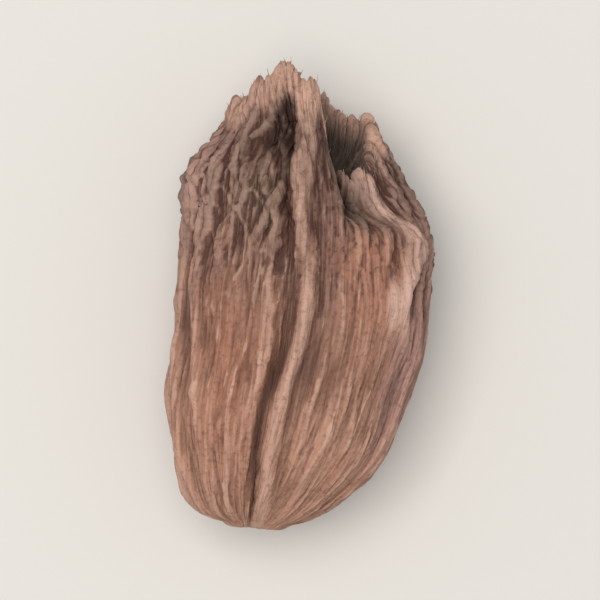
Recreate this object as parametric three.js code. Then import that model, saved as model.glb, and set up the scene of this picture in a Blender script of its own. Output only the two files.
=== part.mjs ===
// Black cardamom pod: the dried fruit of large cardamom, lying on its side.
//
// It is one grown piece. Three valves meet at three seams, each a groove with a raised edge beside it.
// Fine ribs run from the stalk end to the crown, and towards the crown they sway, split and meet again
// as a raised net of wrinkles. The crown is torn where the flower tube broke off: uneven flaps of husk
// stand round a hollow. The stalk end is blunt, with two uneven lobes beside a small round scar.
//
// Millimetres, +Z up. The pod lies along Y with its crown at +Y, and rests on a small flat spot.
// The origin is on the ground, under the middle of the pod's box.
import * as THREE from "three";
import { mergeVertices } from "three/addons/utils/BufferGeometryUtils.js";

const { degToRad, lerp, smoothstep } = THREE.MathUtils;
const TURN = 2 * Math.PI;

// Driving dimensions
const LENGTH = 22; // from the stalk end to the crown's longest flap
const WIDTH = 11.5; // across the pod as it lies, before its relief
const HEIGHT = 9.7; // through the pod, likewise
const FLAT_CUT = 0.5; // how far the lowest ribs are flattened
const BOW = 1.2; // how far the middle bows towards +X

// Outline, as shares of the length and of the half width
const WIDEST_AT = 0.5;
const STALK_BLUNTNESS = 2.6;
const CROWN_TAPER = 1.9;
const RIM_SHARE = 0.5;

// Valves, and the seams between them: a groove and a raised edge, at a distance from the seam's line
const VALVES = 3;
const VALVE_DEPTH = 0.3;
const SEAM_AT = degToRad(-5); // the uppermost seam
const SEAM_MEANDER = { angle: degToRad(3), along: 12, shift: 2, apart: 2.1 };
const GROOVE = { offset: -0.48, width: 0.38, height: -0.6 };
// where the groove all but closes: about half way along, and below the rim
const GROOVE_SHALLOWS = [
  { at: 0.55, along: 0.13, share: 0.85 },
  { at: 1, along: 0.06, share: 0.9 },
];
const EDGE = { offset: 0.35, width: 0.38, height: 0.6 };
const EDGE_SINKS = { at: 0.58, along: 0.08, share: 0.55 }; // where the edge is low
const EDGE_WIDENS = { by: 1.6, from: 0.65, full: 0.9 }; // into a strip towards the crown
const SEAM_CALM = { offset: 1.1, width: 0.8, share: 0.85 }; // where ribs die out beside the edge
const SEAM_NARROWS = 0.7; // the share of the half width below which all of these draw together

// Ribs, and the net that they make towards the crown. A wave below has some turns round the pod, some
// radians along it and a shift. Wander and sway are in radians, where a full turn is one rib's spacing.
const RIBS = 22;
const RIB_HEIGHT = { stalk: 0.3, crown: 0.55 };
const RIB_SHARPNESS = { stalk: 1.6, crown: 2.4 };
const RIB_WANDER = 1.6;
const WANDER_WAVES = [
  { round: 2, along: 5.1, shift: 0 },
  { round: 3, along: -6.3, shift: 1.3 },
];
const STRENGTH_WAVES = [
  { round: 5, along: 3, shift: 0, share: 0.35 },
  { round: 8, along: -5, shift: 0, share: 0.3 },
];
const NET = { from: 0.4, full: 0.8, sway: 2.2 };
const NET_STRANDS = [
  { round: 2, along: 4.1 * TURN, bend: { round: 3, along: 4, shift: 0 } },
  { round: -3, along: 3.2 * TURN, bend: { round: 2, along: -5, shift: 0 } },
];

// Strong ribs: where each starts and ends along the pod, its angles there, its sway and its height
const STRONG_RIBS = [
  { start: 0.36, end: 1.1, angles: [52, 58], sway: 6, height: 0.6 },
  { start: -0.1, end: 0.55, angles: [-62, -78], sway: 3, height: 0.35 },
  { start: 0.35, end: 1.1, angles: [140, 150], sway: 4, height: 0.5 },
  { start: 0.3, end: 0.95, angles: [-150, -128], sway: 4, height: 0.45 },
];
const STRONG_RIB_SWAY = { along: 17.4, shift: -5.1 }; // in radians from a rib's start to its end
const STRONG_RIB_WIDTH = { before: 1, after: 0.4 }; // to either side of its line, as a fold leans
const STRONG_RIB_ENDS = 0.25; // the share of its length over which a rib rises, and falls again

// Patches of husk where the ribs are low: where, how long and wide, and the share of the ribs that is lost
const SMOOTH_PATCHES = [{ at: 0.5, angle: 36, along: 6, across: 2.2, share: 0.85 }];

// Low lumps where seeds push the husk out, between two crossing waves
const LUMP_HEIGHT = 0.2;
const LUMP_WAVES = [
  { round: 3, along: 11, shift: 1 },
  { round: 2, along: -13, shift: 0 },
];

// Hollows sunk into the husk, and the shoulder that swells out: where, how much, and how long and wide
const DENTS = [
  { at: 0.92, angle: 34, depth: 0.9, along: 3, across: 1.2 },
  { at: 0.87, angle: -20, depth: 1.35, along: 1.4, across: 0.9 },
  { at: 0.7, angle: -110, depth: 0.6, along: 3, across: 1.2 },
];
const SWELLS = [{ at: 0.83, angle: -76, height: 0.9, along: 3.6, across: 2.4 }];

// The stalk end: the scar's dimple and its rim, and the lobes that reach past them
const SCAR = { radius: 0.9, depth: 0.5 };
const SCAR_RIM = { radius: 1.25, width: 0.35, height: 0.25 };
const LOBES = [
  { angle: 58, spread: 48, reach: 0.1 },
  { angle: -55, spread: 50, reach: 0.35 },
];
const LOBES_UNTIL = 0.3;
const LOBES_FROM_GIRTH = [0.12, 0.5]; // they grow from the scar between these shares of the half width
const RELIEF_FROM_GIRTH = [0.08, 0.6]; // and so does all other relief

// The torn crown: each flap's middle and half width, and how far it stays short of the longest one
const FLAPS = [
  { angle: -16, spread: 34, short: 0 },
  { angle: -37, spread: 22, short: 0.9 },
  { angle: -54, spread: 46, short: 1.8 },
  { angle: 7, spread: 15, short: 0.3 },
  { angle: 90, spread: 33, short: 2.1 },
  { angle: 131, spread: 30, short: 2 },
  { angle: 166, spread: 36, short: 1 },
  { angle: 232, spread: 46, short: 1.3 },
];
const FLAP_SQUARENESS = 2.4;
const JAG_DEPTH = 0.3;
const JAG_WAVES = [
  { round: 17, along: 0, shift: 0 },
  { round: 5, along: 0, shift: 1 },
];
const CLEFT_DEPTH = 4.9; // how far the rim falls between two flaps
const CLEFT_FROM = 0.6; // where along the pod the husk starts to follow the tear
const LIP = { height: 0.35, width: 0.9 };
const RIM_CALM = { width: 2, share: 0.65 }; // where ribs die out below the rim
const WALL = 0.75;
const HOLLOW_DEPTH = 5.4;

// Facets
const COLUMNS = 132; // six to a rib
const STALK_ROWS = 20;
const CROWN_ROWS = 21;
const HOLLOW_ROWS = 4;

// Share of the half width at t, which runs from 0 at the stalk end to 1 at the crown's rim.
function girth(t) {
  if (t < WIDEST_AT) {
    return Math.sqrt(1 - ((WIDEST_AT - t) / WIDEST_AT) ** STALK_BLUNTNESS);
  }
  return 1 - (1 - RIM_SHARE) * ((t - WIDEST_AT) / (1 - WIDEST_AT)) ** CROWN_TAPER;
}

// A hump of height 1 that is gone two widths away.
const bell = (x) => Math.exp(-x * x);

// A crest of height 1 at each whole turn of the phase, with a flat valley between.
const crest = (phase, sharpness) => ((1 + Math.cos(phase)) / 2) ** sharpness;

const wave = ({ round, along, shift }, t, angle) => Math.sin(round * angle + along * t + shift);

// The angle from one direction to another, within half a turn either way.
function between(angle, other) {
  const apart = angle - other;
  return apart - TURN * Math.round(apart / TURN);
}

// The same in millimetres round the husk.
const arc = (t, angle, other) => (between(angle, other) * girth(t) * WIDTH) / 2;

// A hump of height 1 that runs along every seam, to one side of its line.
function besideSeams({ offset, width }, t, angle) {
  const { along, shift, apart } = SEAM_MEANDER;
  const aside = offset * Math.min(girth(t) / SEAM_NARROWS, 1);
  let humps = 0;
  for (let k = 0; k < VALVES; k++) {
    const meander = SEAM_MEANDER.angle * Math.sin(along * t + shift + apart * k);
    const line = SEAM_AT + (k * TURN) / VALVES + meander;
    humps += bell((arc(t, angle, line) - aside) / width);
  }
  return humps;
}

// A stretch of the length, with a soft start and end.
const stretch = ({ at, along, share }, t) => share * bell((t - at) / along);

// The groove and the raised edge of every seam.
function seams(t, angle) {
  const depth = GROOVE_SHALLOWS.reduce((left, one) => left * (1 - stretch(one, t)), GROOVE.height);
  const groove = depth * besideSeams(GROOVE, t, angle);
  const widened = lerp(1, EDGE_WIDENS.by, smoothstep(t, EDGE_WIDENS.from, EDGE_WIDENS.full));
  const strip = { offset: EDGE.offset, width: EDGE.width * widened };
  return groove + EDGE.height * besideSeams(strip, t, angle) * (1 - stretch(EDGE_SINKS, t));
}

// A hump of height 1 over one place on the husk.
function patch({ at, angle: middle, along, across }, t, angle) {
  return bell(((t - at) * LENGTH) / along) * bell(arc(t, angle, degToRad(middle)) / across);
}

// The share of the ribs that is lost beside the seams, below the rim and on smooth patches.
function smooth(t, angle) {
  let lost = SEAM_CALM.share * besideSeams(SEAM_CALM, t, angle);
  lost += RIM_CALM.share * bell(((1 - t) * LENGTH) / RIM_CALM.width);
  for (const one of SMOOTH_PATCHES) {
    lost += one.share * patch(one, t, angle);
  }
  return Math.min(lost, 1);
}

// Ribs that wander a little, and part into two swaying strands that cross as a net.
function ribs(t, angle) {
  let phase = RIBS * angle;
  for (const part of WANDER_WAVES) {
    phase += RIB_WANDER * wave(part, t, angle);
  }
  const net = smoothstep(t, NET.from, NET.full);
  const sharpness = lerp(RIB_SHARPNESS.stalk, RIB_SHARPNESS.crown, net);
  const strands = NET_STRANDS.map(({ round, along, bend }) => {
    const shift = wave(bend, t, angle);
    const sway = NET.sway * net * wave({ round, along, shift }, t, angle);
    return crest(phase + sway, sharpness);
  });
  let height = lerp(RIB_HEIGHT.stalk, RIB_HEIGHT.crown, net);
  height *= STRENGTH_WAVES.reduce((sum, part) => sum + part.share * wave(part, t, angle), 1);
  return height * Math.max(...strands);
}

// Ribs that stand out from the rest for part of the length.
function strongRibs(t, angle) {
  let relief = 0;
  for (const { start, end, angles, sway, height } of STRONG_RIBS) {
    const along = (t - start) / (end - start);
    const swayed = sway * Math.sin(STRONG_RIB_SWAY.along * along + STRONG_RIB_SWAY.shift);
    const line = degToRad(lerp(angles[0], angles[1], along) + swayed);
    const ends = smoothstep(along, 0, STRONG_RIB_ENDS) * smoothstep(1 - along, 0, STRONG_RIB_ENDS);
    const aside = arc(t, angle, line);
    const width = aside < 0 ? STRONG_RIB_WIDTH.before : STRONG_RIB_WIDTH.after;
    relief += height * ends * bell(aside / width);
  }
  return relief;
}

// Low lumps, sunken hollows and swollen places.
function lumps(t, angle) {
  let relief = LUMP_WAVES.reduce((height, part) => height * wave(part, t, angle), LUMP_HEIGHT);
  for (const dent of DENTS) {
    relief -= dent.depth * patch(dent, t, angle);
  }
  for (const swell of SWELLS) {
    relief += swell.height * patch(swell, t, angle);
  }
  return relief;
}

// How far the husk falls short of where an untorn crown would have it.
function torn(t, angle) {
  let flaps = 0;
  for (const { angle: middle, spread, short } of FLAPS) {
    const across = Math.abs(between(angle, degToRad(middle))) / degToRad(spread);
    flaps = Math.max(flaps, (CLEFT_DEPTH - short) * (1 - across ** FLAP_SQUARENESS));
  }
  const jag = JAG_WAVES.reduce((depth, part) => depth * wave(part, 1, angle), JAG_DEPTH);
  return (CLEFT_DEPTH - flaps + jag) * smoothstep(t, CLEFT_FROM, 1);
}

// Distance from the pod's middle line to the husk. Ribs are drawn down with the torn rim, and all relief
// fades out towards the stalk scar.
function radius(t, angle) {
  const valves = -VALVE_DEPTH * Math.cos(VALVES * angle);
  const lip = LIP.height * bell(((1 - t) * LENGTH) / LIP.width);
  const reach = t - torn(t, angle) / LENGTH;
  const ribbing = ribs(reach, angle) * (1 - smooth(t, angle)) + strongRibs(reach, angle);
  const relief = valves + seams(t, angle) + ribbing + lumps(t, angle);
  return (girth(t) * WIDTH) / 2 + lip + relief * smoothstep(girth(t), ...RELIEF_FROM_GIRTH);
}

// How far a lobe of the stalk end reaches past the scar.
function lobes(angle) {
  let reach = 0;
  for (const lobe of LOBES) {
    reach += lobe.reach * bell(between(angle, degToRad(lobe.angle)) / degToRad(lobe.spread));
  }
  return reach;
}

// A point of the husk: its distance from the middle line, and its place along it.
function outside(t, angle) {
  const r = radius(t, angle);
  const rim = SCAR_RIM.height * bell((r - SCAR_RIM.radius) / SCAR_RIM.width);
  const scar = SCAR.depth * bell(r / SCAR.radius) - rim;
  const grown = smoothstep(girth(t), ...LOBES_FROM_GIRTH) * (1 - smoothstep(t, 0, LOBES_UNTIL));
  return [r, LENGTH * t + scar - lobes(angle) * grown - torn(t, angle)];
}

// A point of the hollow in the crown, with q from 0 at the rim to 1 at the middle of its floor.
function inside(q, angle) {
  const [r, y] = outside(1, angle);
  const turn = (q * Math.PI) / 2;
  return [(r - WALL) * Math.cos(turn), lerp(y, LENGTH - HOLLOW_DEPTH, Math.sin(turn))];
}

// Rows from the stalk scar to the widest place, on to the rim, then down into the hollow.
const rows = [];
for (let i = 0; i < STALK_ROWS; i++) {
  const t = WIDEST_AT * (1 - Math.cos((TURN / 4) * (i / STALK_ROWS)));
  rows.push((angle) => outside(t, angle));
}
for (let i = 0; i < CROWN_ROWS; i++) {
  const t = lerp(WIDEST_AT, 1, i / (CROWN_ROWS - 1));
  rows.push((angle) => outside(t, angle));
}
for (let i = 0; i < HOLLOW_ROWS; i++) {
  const q = i / (HOLLOW_ROWS - 1);
  rows.push((angle) => inside(q, angle));
}

// A lathe turned from the rows, then shaped point by point: angle 0 faces up, a quarter turn faces +X.
function podGeometry() {
  const profile = rows.map((row) => new THREE.Vector2(...row(0)));
  const geometry = new THREE.LatheGeometry(profile, COLUMNS);
  const position = geometry.getAttribute("position");
  for (let i = 0; i <= COLUMNS; i++) {
    const angle = (TURN * (i % COLUMNS)) / COLUMNS;
    rows.forEach((row, j) => {
      const [r, y] = row(angle);
      const x = r * Math.sin(angle) + BOW * Math.sin((Math.PI * y) / LENGTH);
      const z = ((r * HEIGHT) / WIDTH) * Math.cos(angle);
      position.setXYZ(i * rows.length + j, x, y, z);
    });
  }
  geometry.computeBoundingBox();
  const ground = geometry.boundingBox.min.z + FLAT_CUT;
  for (let i = 0; i < position.count; i++) {
    position.setZ(i, Math.max(position.getZ(i), ground));
  }
  geometry.deleteAttribute("normal");
  geometry.deleteAttribute("uv");
  const pod = mergeVertices(geometry);
  pod.computeBoundingBox();
  const { min, max } = pod.boundingBox;
  pod.translate(-(min.x + max.x) / 2, -(min.y + max.y) / 2, -ground);
  pod.computeVertexNormals();
  return pod;
}

const husk = new THREE.MeshStandardMaterial({ color: 0x8a675b, roughness: 0.72, metalness: 0 });
const pod = new THREE.Mesh(podGeometry(), husk);
pod.name = "pod";

const part = new THREE.Group();
part.add(pod);

export default part;
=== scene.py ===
"""A black cardamom pod lying on its side: the dried husk, and the fibres that fray from its torn crown."""

import math

import bpy
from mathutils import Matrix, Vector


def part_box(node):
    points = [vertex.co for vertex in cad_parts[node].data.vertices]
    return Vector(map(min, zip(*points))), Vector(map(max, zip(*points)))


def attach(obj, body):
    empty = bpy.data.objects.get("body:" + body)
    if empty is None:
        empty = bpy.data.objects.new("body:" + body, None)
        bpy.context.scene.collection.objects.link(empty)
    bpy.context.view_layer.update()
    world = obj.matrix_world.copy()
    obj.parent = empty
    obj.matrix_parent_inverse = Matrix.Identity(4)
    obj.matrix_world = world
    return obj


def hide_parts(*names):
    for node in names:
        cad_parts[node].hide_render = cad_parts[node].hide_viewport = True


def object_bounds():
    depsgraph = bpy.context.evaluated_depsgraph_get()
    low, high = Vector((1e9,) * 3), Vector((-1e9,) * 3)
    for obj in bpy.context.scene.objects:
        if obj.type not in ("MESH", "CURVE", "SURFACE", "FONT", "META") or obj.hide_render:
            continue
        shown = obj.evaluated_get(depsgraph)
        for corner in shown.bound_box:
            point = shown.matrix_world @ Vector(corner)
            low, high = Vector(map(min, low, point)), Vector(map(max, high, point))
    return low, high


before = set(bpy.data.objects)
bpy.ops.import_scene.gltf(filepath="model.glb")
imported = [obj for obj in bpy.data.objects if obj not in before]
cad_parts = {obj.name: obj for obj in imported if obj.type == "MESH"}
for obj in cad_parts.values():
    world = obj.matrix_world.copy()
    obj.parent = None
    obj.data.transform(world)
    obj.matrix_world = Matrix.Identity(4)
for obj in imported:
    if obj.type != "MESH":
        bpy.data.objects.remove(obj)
cad_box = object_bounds()

# The husk
# The whole dried fruit, grown as one piece: a leathery, fibrous skin of three valves that shrank over its
# seeds as it was dried over a smoky fire. It lies loose on its side, on the lowest ribs of its underside.

MM = 0.001
TURN = 2 * math.pi

# Sizes in millimetres, and shares of the length from 0 at the stalk end to 1 at the crown
LENGTH = 22
WIDTH = 11.5
HEIGHT = 9.7
BOW = 1.2
WIDEST_AT = 0.5
STALK_BLUNTNESS = 2.6
CROWN_TAPER = 1.9
RIM_SHARE = 0.5

# Valves, and the seams between them: a groove and a raised edge, at a distance from the seam's line
VALVES = 3
VALVE_DEPTH = 0.3
SEAM_AT = math.radians(-5)
SEAM_MEANDER = {"angle": math.radians(3), "along": 12, "shift": 2, "apart": 2.1}
GROOVE = {"offset": -0.48, "width": 0.38, "depth": 0.6}
GROOVE_SHALLOWS = [{"at": 0.55, "along": 0.13, "share": 0.85}, {"at": 1, "along": 0.06, "share": 0.9}]
EDGE = {"offset": 0.35, "width": 0.38, "height": 0.6}
EDGE_SINKS = {"at": 0.58, "along": 0.08, "share": 0.55}
EDGE_WIDENS = {"by": 1.6, "from": 0.65, "full": 0.9}
SEAM_CALM = {"offset": 1.1, "width": 0.8, "share": 0.85}
SEAM_NARROWS = 0.7

# Ribs, and the net that they make towards the crown. A wave is its turns round the pod, its radians along
# it and its shift. Wander and sway are in radians, where a full turn is one rib's spacing.
RIBS = 22
RIB_HEIGHT = {"stalk": 0.22, "crown": 0.42}
RIB_SHARPNESS = {"stalk": 1.6, "crown": 6}
RIB_WANDER = 1.6
WANDER_WAVES = [(2, 5.1, 0), (3, -6.3, 1.3)]
STRENGTH_WAVES = [((5, 3, 0), 0.35), ((8, -5, 0), 0.3)]
NET = {"from": 0.4, "full": 0.8, "sway": 2.2}
NET_STRANDS = [((2, 4.1 * TURN), (3, 4, 0)), ((-3, 3.2 * TURN), (2, -5, 0))]
STRONG_RIBS = [
    {"start": 0.36, "end": 1.1, "angles": (52, 58), "sway": 6, "height": 0.6},
    {"start": -0.1, "end": 0.55, "angles": (-62, -78), "sway": 3, "height": 0.35},
    {"start": 0.35, "end": 1.1, "angles": (140, 150), "sway": 4, "height": 0.5},
    {"start": 0.3, "end": 0.95, "angles": (-150, -128), "sway": 4, "height": 0.45},
]
STRONG_RIB_SWAY = {"along": 17.4, "shift": -5.1}
STRONG_RIB_WIDTH = {"before": 1, "after": 0.4}
STRONG_RIB_ENDS = 0.25
SMOOTH_PATCHES = [{"where": (0.5, 36, 6, 2.2), "share": 0.85}]

# Lumps over the seeds, hollows sunk into the husk, and the shoulder that swells out. Where is how far along
# the pod, the angle in degrees, and the patch's length and width.
LUMP_HEIGHT = 0.2
LUMP_WAVES = [(3, 11, 1), (2, -13, 0)]
DENTS = [
    {"where": (0.92, 34, 3, 1.2), "depth": 0.9},
    {"where": (0.87, -20, 1.4, 0.9), "depth": 1.35},
    {"where": (0.7, -110, 3, 1.2), "depth": 0.6},
]
SWELLS = [{"where": (0.83, -76, 3.6, 2.4), "height": 0.9}]

# The stalk end's scar and lobes, and the shares of the half width over which they and the relief grow
SCAR = {"radius": 0.9, "depth": 0.5}
SCAR_RIM = {"radius": 1.25, "width": 0.35, "height": 0.25}
LOBES = [{"angle": 58, "spread": 48, "reach": 0.1}, {"angle": -55, "spread": 50, "reach": 0.35}]
LOBES_UNTIL = 0.3
LOBES_FROM_GIRTH = (0.12, 0.5)
RELIEF_FROM_GIRTH = (0.08, 0.6)

# The torn crown: each flap's middle and half width, and how far it stays short of the longest one
FLAPS = [
    {"angle": -16, "spread": 34, "short": 0},
    {"angle": -37, "spread": 22, "short": 0.9},
    {"angle": -54, "spread": 46, "short": 1.8},
    {"angle": 7, "spread": 15, "short": 0.3},
    {"angle": 90, "spread": 33, "short": 2.1},
    {"angle": 131, "spread": 30, "short": 2},
    {"angle": 166, "spread": 36, "short": 1},
    {"angle": 232, "spread": 46, "short": 1.3},
]
FLAP_SQUARENESS = 2.4
JAG_DEPTH = 0.3
JAG_WAVES = [(17, 0, 0), (5, 0, 1)]
CLEFT_DEPTH = 4.9
CLEFT_FROM = 0.6
LIP = {"height": 0.35, "width": 0.9, "round": 0.12}
RIM_CALM = {"width": 2, "share": 0.65}
WALL = 0.75
HOLLOW_DEPTH = 5.4

# Finer relief than the solid's: lengthwise fibres and striae, a net of small wrinkles towards the crown,
# creases, and the frayed edge of the tear. Thin is a share of the pattern's own range.
FIBRES = {"width": 0.9, "length": 9, "height": 0.1, "thin": 0.06}
STRIAE = {"width": 0.38, "length": 5, "height": 0.055, "thin": 0.1}
WRINKLES = {"width": 0.8, "length": 1.8, "height": 0.13, "thin": 0.15, "from": 0.4, "full": 0.75}
WRINKLE_DRIFT = {"size": 1.6, "reach": 0.6}
WRINKLES_LOST = {"smooth": 0.7, "edge": 0.8}  # their shares that are gone on smooth skin and seam edges
CREASES = {"width": 0.5, "length": 1.0, "depth": 0.07, "thin": 0.05, "off_net": 0.35}
CRUMPLES = {"width": 0.3, "length": 0.8, "height": 0.16, "off_net": 0.3}
FINE_LOST = 0.4  # the share of all the raised lines that is gone on smooth skin
FRAY = {"width": 0.4, "length": 6, "depth": 1.6, "from": 0.95}
RIM_WALL = 0.4
STALK_WRAP = 0.3  # of the width, the way over the round stalk end that adds to the skin's length
WELD = 0.002

# Painted shade: how dark the painted shade in a dent is for its depth, how far a seam's edge clears the
# painted shade of the groove beside it, the share of the hollow's painted shade on its lip, and the pale
# flap tips with the tear's depth over which they end
DENT_DARK = 1.3
EDGE_CLEARS = 0.9
LIP_DARK = 0.2
TIP = {"width": 1.3, "fades": (2.2, 4.4)}

# Tints, each in patches: how far along the pod, the angle in degrees, the length and the width
TINTS = {
    "mauve": [(0.38, 64, 5, 1.8), (0.74, -62, 2.5, 0.9), (0.5, -170, 5, 3)],
    "rust": [(0.3, -32, 4, 1.6), (0.55, 36, 3, 1.5), (0.3, 130, 4, 3), (0.4, -110, 4, 2)],
    "olive": [(0.78, -22, 3.5, 1.6), (0.85, 24, 3.5, 1.4), (0.8, 110, 3, 2.5), (0.75, -150, 3, 2.5)],
}

# How many blurs, and how many millimetres for the full range, for what stands out near by and further away
STANDING = {"near": (12, 0.16), "far": (150, 0.7)}

# Points of the mesh round the pod and along it, and the shares of them on its stalk and crown halves
COLUMNS = 400
ROWS = 240
STALK_ROWS = 0.38
CROWN_ROWS = 0.5
LIP_ROWS = 0.2  # of the rows in the hollow


class Field:
    """A value at every point of a node tree. Sums, products and apply each add a Math node."""

    def __init__(self, node, output):
        self.socket = node.outputs[output]

    def apply(self, operation, *others, clamp=False):
        tree = self.socket.id_data
        values = dict(enumerate([self, *others]))
        return add_node(tree, "ShaderNodeMath", values, operation=operation, use_clamp=clamp)

    def __add__(self, other):
        return self.apply("ADD", other)

    def __sub__(self, other):
        return self.apply("SUBTRACT", other)

    def __rsub__(self, other):
        return self.apply("MULTIPLY_ADD", -1, other)

    def __mul__(self, other):
        return self.apply("MULTIPLY", other)

    def __truediv__(self, other):
        return self.apply("DIVIDE", other)

    def __pow__(self, other):
        return self.apply("POWER", other)

    __radd__ = __add__
    __rmul__ = __mul__


def add_node(tree, kind, inputs, output=0, **settings):
    """Adds a node with its settings, sets or links its inputs, and returns one of its outputs."""
    node = tree.nodes.new(kind)
    for name, value in settings.items():
        setattr(node, name, value)
    for key, value in inputs.items():
        if isinstance(value, Field):
            tree.links.new(value.socket, node.inputs[key])
        else:
            node.inputs[key].default_value = value
    return Field(node, output) if node.outputs else None


def open_tree(name, inputs):
    """A geometry tree with named inputs: the tree, each input's field, and each input's identifier."""
    tree = bpy.data.node_groups.new(name, "GeometryNodeTree")
    tree.interface.new_socket("Geometry", in_out="OUTPUT", socket_type="NodeSocketGeometry")
    keys = {}
    for label, kind in inputs.items():
        keys[label] = tree.interface.new_socket(label, in_out="INPUT", socket_type=kind).identifier
    entry = tree.nodes.new("NodeGroupInput")
    return tree, {label: Field(entry, label) for label in inputs}, keys


husk, given, husk_keys = open_tree(
    "husk",
    {
        "Length": "NodeSocketFloat",
        "Width": "NodeSocketFloat",
        "Height": "NodeSocketFloat",
        "Columns": "NodeSocketInt",
        "Rows": "NodeSocketInt",
        "Box low": "NodeSocketVector",
        "Box high": "NodeSocketVector",
        "Material": "NodeSocketMaterial",
    },
)


def ramp(value, start, end):
    """0 up to start and 1 from end, by a straight line between."""
    return (value - start).apply("DIVIDE", end - start, clamp=True)


def rise(value, start, end):
    """0 up to start and 1 from end, by a soft step between."""
    share = ramp(value, start, end)
    return share * share * (3 - 2 * share)


def bell(value):
    """A hump of height 1 that is gone two widths away."""
    return (value * value * -1).apply("EXPONENT")


# The grid's own width is a turn round the pod, and its length the way along it.
flat = add_node(husk, "GeometryNodeMeshGrid", {
    "Size X": TURN, "Size Y": 1, "Vertices X": given["Columns"], "Vertices Y": given["Rows"],
})
spot = add_node(husk, "GeometryNodeInputPosition", {})
angle = add_node(husk, "ShaderNodeSeparateXYZ", {0: spot}, "X")
row = add_node(husk, "ShaderNodeSeparateXYZ", {0: spot}, "Y") + 0.5

rim_row = STALK_ROWS + CROWN_ROWS
lip_row = rim_row + LIP_ROWS * (1 - rim_row)
over_lip = ramp(row, rim_row, lip_row)
down = ramp(row, lip_row, 1) * (TURN / 4)
to_widest = ramp(row, 0, STALK_ROWS) * (TURN / 4)
to_rim = ramp(row, STALK_ROWS, rim_row)
t = WIDEST_AT * (1 - to_widest.apply("COSINE")) + (1 - WIDEST_AT) * to_rim


def wave(part, place=t):
    """A wave round the pod and along it."""
    turns, along, shift = part
    return (angle * turns + place * along + shift).apply("SINE")


def turn_from(line):
    """The angle from a line along the pod, within half a turn either way."""
    return (angle - line).apply("WRAP", math.pi, -math.pi)


# Outline: a blunt stalk end and a tapered crown
before_widest = ramp(t, WIDEST_AT, 0)
after_widest = ramp(t, WIDEST_AT, 1)
stalk_girth = (1 - before_widest**STALK_BLUNTNESS) ** 0.5
girth = stalk_girth * (1 - (1 - RIM_SHARE) * after_widest**CROWN_TAPER)
half_width = girth * given["Width"] * 0.5


def patch(at, degrees, long, wide):
    """A hump of height 1 at a spot on the husk, that long and wide in millimetres."""
    along = (t - at) * given["Length"] / long
    across = turn_from(math.radians(degrees)) * half_width / wide
    return bell(along) * bell(across)


# The tear, by which the crown's rim falls short of its longest flap
flap_rise = 0
for one in FLAPS:
    across = turn_from(math.radians(one["angle"])).apply("ABSOLUTE") / math.radians(one["spread"])
    flap = (CLEFT_DEPTH - one["short"]) * (1 - across**FLAP_SQUARENESS)
    flap_rise = flap.apply("MAXIMUM", flap_rise)
jag = JAG_DEPTH * wave(JAG_WAVES[0]) * wave(JAG_WAVES[1])
tear = (CLEFT_DEPTH - flap_rise + jag) * rise(t, CLEFT_FROM, 1)
reach = t - tear / given["Length"]

# Seams
groove = 0
edge = 0
calm = 0
narrow = (girth / SEAM_NARROWS).apply("MINIMUM", 1)
widened = 1 + (EDGE_WIDENS["by"] - 1) * rise(t, EDGE_WIDENS["from"], EDGE_WIDENS["full"])
for valve in range(VALVES):
    shift = SEAM_MEANDER["shift"] + SEAM_MEANDER["apart"] * valve
    meander = (SEAM_MEANDER["along"] * t + shift).apply("SINE")
    line = SEAM_MEANDER["angle"] * meander + SEAM_AT + valve * TURN / VALVES
    across = turn_from(line) * half_width
    groove = groove + bell((across - GROOVE["offset"] * narrow) / GROOVE["width"])
    edge = edge + bell((across - EDGE["offset"] * narrow) / (EDGE["width"] * widened))
    calm = calm + bell((across - SEAM_CALM["offset"] * narrow) / SEAM_CALM["width"])
for one in GROOVE_SHALLOWS:
    groove = groove * (1 - one["share"] * bell((t - one["at"]) / one["along"]))
sunk = bell((t - EDGE_SINKS["at"]) / EDGE_SINKS["along"])
edge = edge * (1 - EDGE_SINKS["share"] * sunk)

# Ribs, parting into two strands that sway across each other
net = rise(reach, NET["from"], NET["full"])
phase = angle * RIBS
for part in WANDER_WAVES:
    phase = phase + RIB_WANDER * wave(part, reach)
strength = 1
for part, share in STRENGTH_WAVES:
    strength = strength + share * wave(part, reach)
sharpness = RIB_SHARPNESS["stalk"] + (RIB_SHARPNESS["crown"] - RIB_SHARPNESS["stalk"]) * net
strands = []
for (turns, along), bend in NET_STRANDS:
    sway = NET["sway"] * net * wave((turns, along, wave(bend, reach)), reach)
    strands.append((0.5 + 0.5 * (phase + sway).apply("COSINE")) ** sharpness)
rib = strands[0].apply("MAXIMUM", strands[1])
rib_height = RIB_HEIGHT["stalk"] + (RIB_HEIGHT["crown"] - RIB_HEIGHT["stalk"]) * net

smooth = SEAM_CALM["share"] * calm
smooth = smooth + RIM_CALM["share"] * bell((1 - t) * given["Length"] / RIM_CALM["width"])
for one in SMOOTH_PATCHES:
    smooth = smooth + one["share"] * patch(*one["where"])
smooth = smooth.apply("MINIMUM", 1)
strength = strength * (1 - smooth)

strong_ribs = []
strong_relief = 0
for one in STRONG_RIBS:
    along = (reach - one["start"]) / (one["end"] - one["start"])
    first, last = (math.radians(degrees) for degrees in one["angles"])
    sway = (STRONG_RIB_SWAY["along"] * along + STRONG_RIB_SWAY["shift"]).apply("SINE")
    line = first + (last - first) * along + math.radians(one["sway"]) * sway
    ends = rise(along, 0, STRONG_RIB_ENDS) * rise(along, 1, 1 - STRONG_RIB_ENDS)
    across = turn_from(line) * half_width
    before = bell(across.apply("MINIMUM", 0) / STRONG_RIB_WIDTH["before"])
    hump = ends * before * bell(across.apply("MAXIMUM", 0) / STRONG_RIB_WIDTH["after"])
    strong_ribs.append(hump)
    strong_relief = strong_relief + one["height"] * hump

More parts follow.
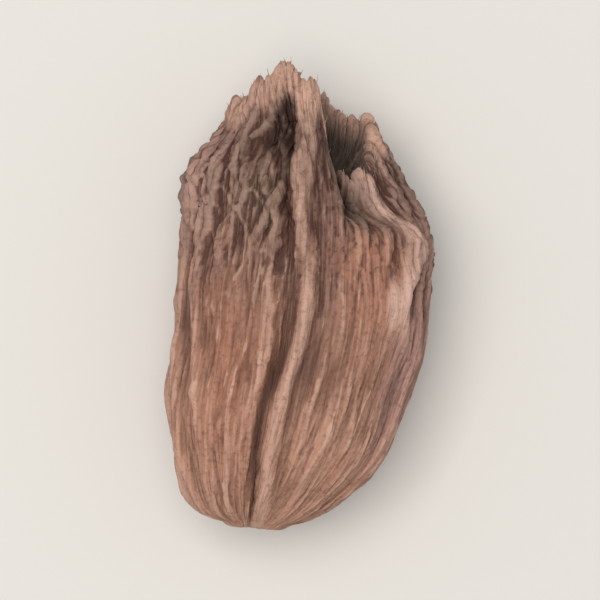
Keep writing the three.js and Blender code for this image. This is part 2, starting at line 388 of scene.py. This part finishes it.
# Lumps, dents and swells
lump = LUMP_HEIGHT * wave(LUMP_WAVES[0]) * wave(LUMP_WAVES[1])
dent = 0
for one in DENTS:
    dent = dent + one["depth"] * patch(*one["where"])
swell = 0
for one in SWELLS:
    swell = swell + one["height"] * patch(*one["where"])

# Distance from the pod's middle line
lip = bell((1 - t) * given["Length"] / LIP["width"])
relief = lump - dent + swell - VALVE_DEPTH * (angle * VALVES).apply("COSINE")
relief = relief + EDGE["height"] * edge - GROOVE["depth"] * groove
relief = relief + rib_height * strength * rib + strong_relief
relief = relief * rise(girth, *RELIEF_FROM_GIRTH)
radius = half_width + LIP["height"] * lip + relief

# Fine relief, on a drum that the pod's skin is wrapped round, so that it runs with the ribs
drum = {
    "X": angle.apply("SINE") * given["Width"] * 0.5,
    "Y": reach * given["Length"] + stalk_girth * given["Width"] * STALK_WRAP + down * HOLLOW_DEPTH,
    "Z": angle.apply("COSINE") * given["Width"] * 0.5,
}
skin = add_node(husk, "ShaderNodeCombineXYZ", drum)


def stretched(place, size):
    """A place on the skin, in units of that width and length in millimetres."""
    tree = place.socket.id_data
    units = (1 / size["width"], 1 / size["length"], 1 / size["width"])
    return add_node(tree, "ShaderNodeVectorMath", {0: place, 1: units}, operation="MULTIPLY")


def drawn_out(place, size, detail):
    """Noise in features of that width and length in millimetres."""
    look = {"Vector": stretched(place, size), "Scale": 1, "Detail": detail}
    return add_node(place.socket.id_data, "ShaderNodeTexNoise", look)


def lines(size):
    """Thin winding lines, 1 along their middles and 0 between them."""
    from_middle = (drawn_out(skin, size, 2) - 0.5).apply("ABSOLUTE")
    return 1 - rise(from_middle, 0, size["thin"])


fibre = lines(FIBRES)
stria = lines(STRIAE) * (1 + net)
crease = lines(CREASES) * (CREASES["off_net"] + (1 - CREASES["off_net"]) * net)
crumple = drawn_out(skin, CRUMPLES, 2) - 0.5
crumple = crumple * (CRUMPLES["off_net"] + (1 - CRUMPLES["off_net"]) * net)

drift = {"Vector": skin, "Scale": 1 / WRINKLE_DRIFT["size"], "Detail": 2}
drift = add_node(husk, "ShaderNodeTexNoise", drift, "Color")
drifted = {0: drift, 1: (WRINKLE_DRIFT["reach"],) * 3, 2: stretched(skin, WRINKLES)}
drifted = add_node(husk, "ShaderNodeVectorMath", drifted, operation="MULTIPLY_ADD")
cells = {"Vector": drifted, "Scale": 1, "Randomness": 1}
to_cell_edge = add_node(husk, "ShaderNodeTexVoronoi", cells, feature="DISTANCE_TO_EDGE")
wrinkle = 1 - rise(to_cell_edge, 0, WRINKLES["thin"])
wrinkle = wrinkle * rise(reach, WRINKLES["from"], WRINKLES["full"])
wrinkle = wrinkle * (1 - WRINKLES_LOST["smooth"] * smooth)
wrinkle = wrinkle * (1 - WRINKLES_LOST["edge"] * edge.apply("MINIMUM", 1))

fine = FIBRES["height"] * fibre + STRIAE["height"] * stria + WRINKLES["height"] * wrinkle
fine = fine * (1 - FINE_LOST * smooth) - CREASES["depth"] * crease + CRUMPLES["height"] * crumple
fine = fine * rise(girth, *RELIEF_FROM_GIRTH)

# Place along the middle line
lobe = 0
for one in LOBES:
    lobe = lobe + one["reach"] * bell(turn_from(math.radians(one["angle"])) / math.radians(one["spread"]))
lobe = lobe * rise(girth, *LOBES_FROM_GIRTH) * (1 - rise(t, 0, LOBES_UNTIL))
scar = bell(radius / SCAR["radius"])
scar_rim = bell((radius - SCAR_RIM["radius"]) / SCAR_RIM["width"])
y = given["Length"] * t + SCAR["depth"] * scar - SCAR_RIM["height"] * scar_rim - lobe - tear

# The torn edge frays, then turns over a thin lip and down to the hollow's floor
frayed = FRAY["depth"] * (drawn_out(skin, FRAY, 3) - 0.5)
y = y + frayed * rise(t, FRAY["from"], 1)
y = y + LIP["round"] * (over_lip * math.pi).apply("SINE")
y = y + (given["Length"] - HOLLOW_DEPTH - y) * down.apply("SINE")
radius = (radius - RIM_WALL * over_lip - (WALL - RIM_WALL) * down.apply("SINE")) * down.apply("COSINE")
x = radius * angle.apply("SINE") + BOW * (y * math.pi / given["Length"]).apply("SINE")
z = radius * angle.apply("COSINE") * given["Height"] / given["Width"]

# Tints in places: rust and olive that the smoke left, and mauve on the flanks that is partly the smoke's
# and partly a painted sheen
tints = {}
for name, places in TINTS.items():
    tints[name] = sum(patch(*where) for where in places)

# What the material reads, from 0 to 1, and what this tree and the fibres read: the heights in millimetres
# and the torn lip
tip = bell((1 - t) * given["Length"] / TIP["width"])
painted = {
    "along": t,
    "ridge": edge + sum(strong_ribs),
    "shoulder": strong_ribs[0],
    # Painted shade in the seams' grooves and in the dents, deeper for a deeper dent, and cleared off the
    # seam's raised edge
    "groove": groove + DENT_DARK * dent - EDGE_CLEARS * edge,
    "tip": tip * (1 - rise(tear, *TIP["fades"])),
    "scar": scar,
    "scar_rim": scar_rim,
    # Painted shade, faint on the lip and deepening down into the crown's hollow
    "hollow": over_lip * LIP_DARK + down.apply("SINE") * (1 - LIP_DARK),
    **tints,
}
kept = {"fine": fine, "height": relief + fine, "lip": lip}
shape = flat
for name, value in [*painted.items(), *kept.items()]:
    store = {"Geometry": shape, "Name": name, "Value": value}
    shape = add_node(husk, "GeometryNodeStoreNamedAttribute", store, data_type="FLOAT", domain="POINT")
store = {"Geometry": shape, "Name": "skin", "Value": skin}
shape = add_node(husk, "GeometryNodeStoreNamedAttribute", store, data_type="FLOAT_VECTOR", domain="POINT")

# Wrapped into shape, closed at its seam and ends, and set in the solid's box with its top at the solid's
placed = add_node(husk, "ShaderNodeCombineXYZ", {"X": x * MM, "Y": y * MM, "Z": z * MM})
shape = add_node(husk, "GeometryNodeSetPosition", {"Geometry": shape, "Position": placed})
shape = add_node(husk, "GeometryNodeMergeByDistance", {"Geometry": shape, "Distance": WELD * MM})
low = add_node(husk, "GeometryNodeBoundBox", {"Geometry": shape}, "Min")
high = add_node(husk, "GeometryNodeBoundBox", {"Geometry": shape}, "Max")
to_low = add_node(husk, "ShaderNodeVectorMath", {0: given["Box low"], 1: low}, operation="SUBTRACT")
to_high = add_node(husk, "ShaderNodeVectorMath", {0: given["Box high"], 1: high}, operation="SUBTRACT")
level = add_node(husk, "ShaderNodeVectorMath", {0: to_low, 1: (0.5, 0.5, 0)}, operation="MULTIPLY")
move = {0: to_high, 1: (0.5, 0.5, 1), 2: level}
move = add_node(husk, "ShaderNodeVectorMath", move, operation="MULTIPLY_ADD")
shape = add_node(husk, "GeometryNodeSetPosition", {"Geometry": shape, "Offset": move})

# Raised along its normals by the fine relief, then pressed level where it would sink into the ground. The
# metre below zero leaves X and Y as they are.
raised_by = add_node(husk, "GeometryNodeInputNamedAttribute", {"Name": "fine"}, data_type="FLOAT") * MM
normal = add_node(husk, "GeometryNodeInputNormal", {})
lift = add_node(husk, "ShaderNodeVectorMath", {0: normal, "Scale": raised_by}, operation="SCALE")
shape = add_node(husk, "GeometryNodeSetPosition", {"Geometry": shape, "Offset": lift})
above_ground = add_node(husk, "ShaderNodeVectorMath", {0: spot, 1: (-1, -1, 0)}, operation="MAXIMUM")
shape = add_node(husk, "GeometryNodeSetPosition", {"Geometry": shape, "Position": above_ground})

# How far each spot stands above or below the skin round it, near by and further away, about a middle of 0.5
height = add_node(husk, "GeometryNodeInputNamedAttribute", {"Name": "height"}, data_type="FLOAT")
for name, (blurs, full_range) in STANDING.items():
    level_round = {"Value": height, "Iterations": blurs}
    level_round = add_node(husk, "GeometryNodeBlurAttribute", level_round, data_type="FLOAT")
    store = {"Geometry": shape, "Name": name, "Value": (height - level_round) / full_range + 0.5}
    shape = add_node(husk, "GeometryNodeStoreNamedAttribute", store, data_type="FLOAT", domain="POINT")
shape = add_node(husk, "GeometryNodeSetShadeSmooth", {"Geometry": shape})
shape = add_node(husk, "GeometryNodeRealizeInstances", {"Geometry": shape})
shape = add_node(husk, "GeometryNodeSetMaterial", {"Geometry": shape, "Material": given["Material"]})
add_node(husk, "NodeGroupOutput", {0: shape})


def linear(colour):
    """An sRGB hex colour as linear red, green, blue and alpha."""
    shares = [int(colour[i : i + 2], 16) / 255 for i in (1, 3, 5)]
    return (*[s / 12.92 if s <= 0.04045 else ((s + 0.055) / 1.055) ** 2.4 for s in shares], 1)


# Smoke-dried cardamom husk: dull, dry and leathery. The eye sees warm tan at the stalk end and greyer
# brown towards the crown, crests pale with wear and painted highlight, painted shade in the valleys,
# grooves, dents and hollow, and blotches of rust and mauve from the smoke, the mauve partly painted sheen.
TAN = "#b68871"
BROWN = "#986e5a"
GREY_BROWN = "#70534b"
RUST = "#a87159"
MAUVE_AND_SHEEN = "#b0877f"
OLIVE = "#665443"
SHADE = "#46291f"
PALE = "#c59c89"
WORN_AND_HIGHLIGHT_PALE = "#cda99b"
ASH = "#9e8376"
GROOVE_SHADE = "#2e1a14"
HOLLOW_SHADE = "#44352b"
BLOTCH = {"size": 3.5, "apart": (0, 31, 57)}
TINT_BREAKS = {"blotch": 1.5, "from": 0.7, "full": 1.7}  # how the blotches break up a tint
WORN_LEAST = 0.35
STREAK = {"width": 0.3, "length": 6}
THREAD = {"width": 0.13, "length": 2}
GRAIN = 0.22
PORE = {"width": 0.16, "length": 0.8}  # fine fibres, drawn about four times their size so that they show
ROUGHNESS = {"dull": 0.75, "worn": 0.55}
BUMP = {"pores": 0.6, "grain": 0.8, "threads": 0.8, "strength": 0.9, "depth": 0.09}

husk_skin = bpy.data.materials.new("smoke-dried husk")
husk_skin.use_nodes = True
paint = husk_skin.node_tree
paint.nodes.clear()
seen = {}
for name in [*painted, *STANDING]:
    seen[name] = add_node(paint, "ShaderNodeAttribute", {}, "Fac", attribute_name=name)
place = add_node(paint, "ShaderNodeAttribute", {}, "Vector", attribute_name="skin")
blotches = []
for apart in BLOTCH["apart"]:
    moved = add_node(paint, "ShaderNodeMapping", {"Vector": place, "Location": (apart, apart, apart)})
    cloud = {"Vector": moved, "Scale": 1 / BLOTCH["size"], "Detail": 4, "Roughness": 0.6}
    blotches.append(add_node(paint, "ShaderNodeTexNoise", cloud))
streak = drawn_out(place, STREAK, 3)
thread = drawn_out(place, THREAD, 3)
pores = drawn_out(place, PORE, 3)
solid = add_node(paint, "ShaderNodeTexCoord", {}, "Object")
grain = add_node(paint, "ShaderNodeTexNoise", {"Vector": solid, "Scale": 1 / (GRAIN * MM), "Detail": 4})

# How grey the husk is towards its crown, how deep its painted shade in the valleys is there, how worn it
# is, and its crests
upper = rise(seen["along"] + 0.5 * (blotches[0] - 0.5) - 0.12 * seen["rust"], 0.28, 0.88)
valley_shade = 0.35 + 0.55 * upper
worn = WORN_LEAST + (1 - WORN_LEAST) * rise(blotches[2], 0.35, 0.65)
# Crests, made pale partly by wear and partly as a painted highlight
crest = 0.9 * rise(seen["near"], 0.55, 0.9) + 0.5 * rise(seen["far"], 0.6, 1)
crest = crest + 0.3 * seen["ridge"] + 0.5 * seen["tip"] + 0.5 * seen["scar_rim"]
crest = rise(crest, 0, 1)
tinted = {}
for name, blotch in zip(TINTS, blotches):
    broken = seen[name] + TINT_BREAKS["blotch"] * blotch
    tinted[name] = rise(broken, TINT_BREAKS["from"], TINT_BREAKS["full"])

# Over the tan, from the bottom up: how much of each colour there is, and which
layers = [
    (rise(seen["along"], 0.12, 0.42), BROWN),
    (upper, GREY_BROWN),
    (0.75 * tinted["rust"], RUST),
    # Mauve on the flanks: partly the husk's own tint, partly painted sheen, pale so that the side away from
    # the lamp reads lit
    (0.75 * tinted["mauve"], MAUVE_AND_SHEEN),
    (0.85 * tinted["olive"], OLIVE),
    (0.35 * rise(streak, 0.5, 0.72), SHADE),
    (0.35 * rise(streak, 0.5, 0.28), PALE),
    # Painted shade in the valleys, near by and further away, deeper towards the crown
    (valley_shade * rise(seen["far"], 0.52, 0.2), SHADE),
    (valley_shade * rise(seen["near"], 0.48, 0.2), SHADE),
    # Pale on the crests and ridges: partly wear, partly painted highlight
    (worn * crest * (1 - upper), PALE),
    (0.6 * worn * crest * upper, ASH),
    ((0.3 + 0.45 * worn) * rise(seen["ridge"], 0.2, 0.8), PALE),
    ((0.3 + 0.6 * worn) * rise(seen["tip"], 0.1, 0.7), PALE),
    # The right shoulder's crest: pale partly with wear and partly as a painted highlight
    (0.8 * rise(seen["shoulder"] - 1.2 * (streak - 0.5), 0.4, 1), WORN_AND_HIGHLIGHT_PALE),
    ((0.28 + 0.2 * upper) * rise(thread, 0.5, 0.66), SHADE),
    (0.2 * rise(thread, 0.5, 0.3), PALE),
    (0.35 * rise(grain, 0.5, 0.72), SHADE),
    # Painted shade in the grooves and dents
    (0.72 * rise(seen["groove"], 0.45, 1.1), GROOVE_SHADE),
    (0.8 * rise(seen["scar"], 0.2, 0.8), SHADE),
    # Painted shade in the crown's hollow
    (rise(seen["hollow"], 0.05, 0.5), HOLLOW_SHADE),
]
colour = linear(TAN)
for share, hex_colour in layers:
    mix = {0: share, 6: colour, 7: linear(hex_colour)}
    colour = add_node(paint, "ShaderNodeMix", mix, 2, data_type="RGBA")
grit = BUMP["pores"] * pores + BUMP["grain"] * grain + BUMP["threads"] * thread
bump = {"Height": grit, "Strength": BUMP["strength"], "Distance": BUMP["depth"] * MM}
surface = {
    "Base Color": colour,
    "Roughness": ROUGHNESS["dull"] - (ROUGHNESS["dull"] - ROUGHNESS["worn"]) * crest,
    "IOR": 1.45,
    "Normal": add_node(paint, "ShaderNodeBump", bump),
}
surface = add_node(paint, "ShaderNodeBsdfPrincipled", surface)
add_node(paint, "ShaderNodeOutputMaterial", {"Surface": surface})


def grow(name, tree, keys, values):
    """Runs a geometry tree with its inputs' values, and keeps what it made as a plain mesh."""
    piece = bpy.data.objects.new(name, bpy.data.meshes.new(name))
    bpy.context.scene.collection.objects.link(piece)
    modifier = piece.modifiers.new(name, "NODES")
    modifier.node_group = tree
    for label, value in values.items():
        modifier[keys[label]] = value
    depsgraph = bpy.context.evaluated_depsgraph_get()
    made = piece.evaluated_get(depsgraph)
    mesh = bpy.data.meshes.new_from_object(made, preserve_all_data_layers=True, depsgraph=depsgraph)
    piece.modifiers.remove(modifier)
    blank = piece.data
    piece.data = mesh
    bpy.data.meshes.remove(blank)
    return piece


pod_low, pod_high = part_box("pod")
husk_sizes = {
    "Length": LENGTH,
    "Width": WIDTH,
    "Height": HEIGHT,
    "Columns": COLUMNS + 1,
    "Rows": ROWS,
    "Box low": pod_low,
    "Box high": pod_high,
    "Material": husk_skin,
}
husk_piece = grow("husk", husk, husk_keys, husk_sizes)
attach(husk_piece, "root")
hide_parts("pod")

# The crown's fibres
# Strands of the husk's own bast, left standing where the dry flower tube tore away. They are as thin as
# hair, taper towards the tip, and are rooted in the torn lip that they are part of.

FIBRE_LENGTH = (0.1, 0.42)
FIBRE_THICKNESS = 0.16  # of its length, at the root
FIBRE_TAPER = 0.75
FIBRE_SIDES = 5
FIBRE_BENDS = 7
FIBRE_CURVE = {"Start": (0, 0, -0.2), "Middle": (0.2, 0, 0.4), "End": (0, 0.25, 1)}  # in its own lengths
FIBRES_PER_MM2 = 5
FIBRES_WHERE = {"lip": 0.93, "hollow": 0.1}  # on the lip's upper part, and not yet inside the hollow
FIBRE_SPREAD = 0.5
FIBRE_LEAN = 0.2
FIBRE_SEED = 11

tuft, tuft_given, tuft_keys = open_tree(
    "tuft",
    {
        "Husk": "NodeSocketObject",
        "Shortest": "NodeSocketFloat",
        "Longest": "NodeSocketFloat",
        "Seed": "NodeSocketInt",
        "Material": "NodeSocketMaterial",
    },
)
torn = add_node(tuft, "GeometryNodeObjectInfo", {"Object": tuft_given["Husk"]}, "Geometry")
lip_here = add_node(tuft, "GeometryNodeInputNamedAttribute", {"Name": "lip"}, data_type="FLOAT")
hollow_here = add_node(tuft, "GeometryNodeInputNamedAttribute", {"Name": "hollow"}, data_type="FLOAT")
on_lip = lip_here.apply("GREATER_THAN", FIBRES_WHERE["lip"])
on_lip = on_lip * hollow_here.apply("LESS_THAN", FIBRES_WHERE["hollow"])
sown = {"Mesh": torn, "Selection": on_lip, "Density": FIBRES_PER_MM2 / MM**2, "Seed": tuft_given["Seed"]}
roots = add_node(tuft, "GeometryNodeDistributePointsOnFaces", sown)
out = Field(roots.socket.node, "Normal")

# One fibre of length 1: a bent tube that tapers
curve = add_node(tuft, "GeometryNodeCurveQuadraticBezier", {"Resolution": FIBRE_BENDS, **FIBRE_CURVE})
ring = {"Resolution": FIBRE_SIDES, "Radius": FIBRE_THICKNESS / 2}
ring = add_node(tuft, "GeometryNodeCurvePrimitiveCircle", ring)
taper = 1 - FIBRE_TAPER * add_node(tuft, "GeometryNodeSplineParameter", {}, "Factor")
tube = {"Curve": curve, "Profile Curve": ring, "Scale": taper, "Fill Caps": True}
tube = add_node(tuft, "GeometryNodeCurveToMesh", tube)

# Each points along the pod, strays a little and leans outwards
stray = {"Min": (-1, -1, -1), "Max": (1, 1, 1), "Seed": tuft_given["Seed"]}
stray = add_node(tuft, "FunctionNodeRandomValue", stray, "Value", data_type="FLOAT_VECTOR")
aim = {0: stray, 1: (FIBRE_SPREAD,) * 3, 2: (0, 1, 0)}
aim = add_node(tuft, "ShaderNodeVectorMath", aim, operation="MULTIPLY_ADD")
aim = {0: out, 1: (FIBRE_LEAN,) * 3, 2: aim}
aim = add_node(tuft, "ShaderNodeVectorMath", aim, operation="MULTIPLY_ADD")
turned = add_node(tuft, "FunctionNodeAlignRotationToVector", {"Vector": aim}, axis="Z")
length = {"Min": tuft_given["Shortest"], "Max": tuft_given["Longest"], "Seed": tuft_given["Seed"]}
length = add_node(tuft, "FunctionNodeRandomValue", length, "Value", data_type="FLOAT") * MM
planted = {"Points": roots, "Instance": tube, "Rotation": turned, "Scale": length}
planted = add_node(tuft, "GeometryNodeInstanceOnPoints", planted)
planted = add_node(tuft, "GeometryNodeRealizeInstances", {"Geometry": planted})
planted = add_node(tuft, "GeometryNodeSetShadeSmooth", {"Geometry": planted})
planted = {"Geometry": planted, "Material": tuft_given["Material"]}
add_node(tuft, "NodeGroupOutput", {0: add_node(tuft, "GeometryNodeSetMaterial", planted)})

# Dry bast fibre: straw-pale and dull, with darker stretches, so that the tear catches the light.
STRAW = "#b79c8c"
STRAW_SHADE = "#7d6153"
STRETCH = 0.6

bast = bpy.data.materials.new("dry bast fibre")
bast.use_nodes = True
bast_paint = bast.node_tree
bast_paint.nodes.clear()
bast_place = add_node(bast_paint, "ShaderNodeTexCoord", {}, "Object")
stretch = {"Vector": bast_place, "Scale": 1 / (STRETCH * MM)}
stretch = add_node(bast_paint, "ShaderNodeTexNoise", stretch)
tint = {0: rise(stretch, 0.35, 0.65), 6: linear(STRAW), 7: linear(STRAW_SHADE)}
tint = add_node(bast_paint, "ShaderNodeMix", tint, 2, data_type="RGBA")
bast_surface = {"Base Color": tint, "Roughness": 0.7, "IOR": 1.5}
bast_surface = add_node(bast_paint, "ShaderNodeBsdfPrincipled", bast_surface)
add_node(bast_paint, "ShaderNodeOutputMaterial", {"Surface": bast_surface})

tuft_sizes = {
    "Husk": husk_piece,
    "Shortest": FIBRE_LENGTH[0],
    "Longest": FIBRE_LENGTH[1],
    "Seed": FIBRE_SEED,
    "Material": bast,
}
tuft_piece = grow("crown_fibres", tuft, tuft_keys, tuft_sizes)
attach(tuft_piece, "root")

# The studio
# A pale matt board under the pod, a large soft lamp nearly overhead and a little to the left, and a dim,
# even surround. The camera looks straight down on the pod, whose crown leans to the left.

BOARD = 0.6
BOARD_BELOW = 0.02 * MM
BOARD_COLOUR = "#dedcd8"
KEY = {"place": (-0.05, 0.02, 0.3), "size": 0.2, "watts": 0.7, "colour": "#fffaf4"}
SURROUND = 0.46
LENS = 200
FRAME_WIDTH = 29 * MM
CROWN_LEANS = math.radians(6)

board = bpy.data.objects.new("board", bpy.data.meshes.new("board"))
corners = [(-BOARD, -BOARD), (BOARD, -BOARD), (BOARD, BOARD), (-BOARD, BOARD)]
corners = [(*corner, -BOARD_BELOW) for corner in corners]
board.data.from_pydata(corners, [], [(0, 1, 2, 3)])
bpy.context.scene.collection.objects.link(board)
card = bpy.data.materials.new("matt card")
card.use_nodes = True
card_shader = card.node_tree.nodes["Principled BSDF"]
card_shader.inputs["Base Color"].default_value = linear(BOARD_COLOUR)
card_shader.inputs["Roughness"].default_value = 0.9
board.data.materials.append(card)

key = bpy.data.objects.new("key", bpy.data.lights.new("key", "AREA"))
key.data.energy = KEY["watts"]
key.data.size = KEY["size"]
key.data.color = linear(KEY["colour"])[:3]
key.location = KEY["place"]
key.rotation_euler = (-key.location).to_track_quat("-Z", "Y").to_euler()
bpy.context.scene.collection.objects.link(key)

surround = bpy.data.worlds.new("surround")
surround.use_nodes = True
surround.node_tree.nodes["Background"].inputs["Strength"].default_value = SURROUND
surround.node_tree.nodes["Background"].inputs["Color"].default_value = (1, 1, 1, 1)
bpy.context.scene.world = surround
bpy.context.scene.view_settings.view_transform = "Standard"

camera = bpy.data.objects.new("camera", bpy.data.cameras.new("camera"))
camera.data.lens = LENS
pod_middle = (cad_box[0] + cad_box[1]) / 2
distance = FRAME_WIDTH * LENS / camera.data.sensor_width
camera.location = (pod_middle.x, pod_middle.y, pod_middle.z + distance)
camera.rotation_euler = (0, 0, CROWN_LEANS)
bpy.context.scene.collection.objects.link(camera)
bpy.context.scene.camera = camera
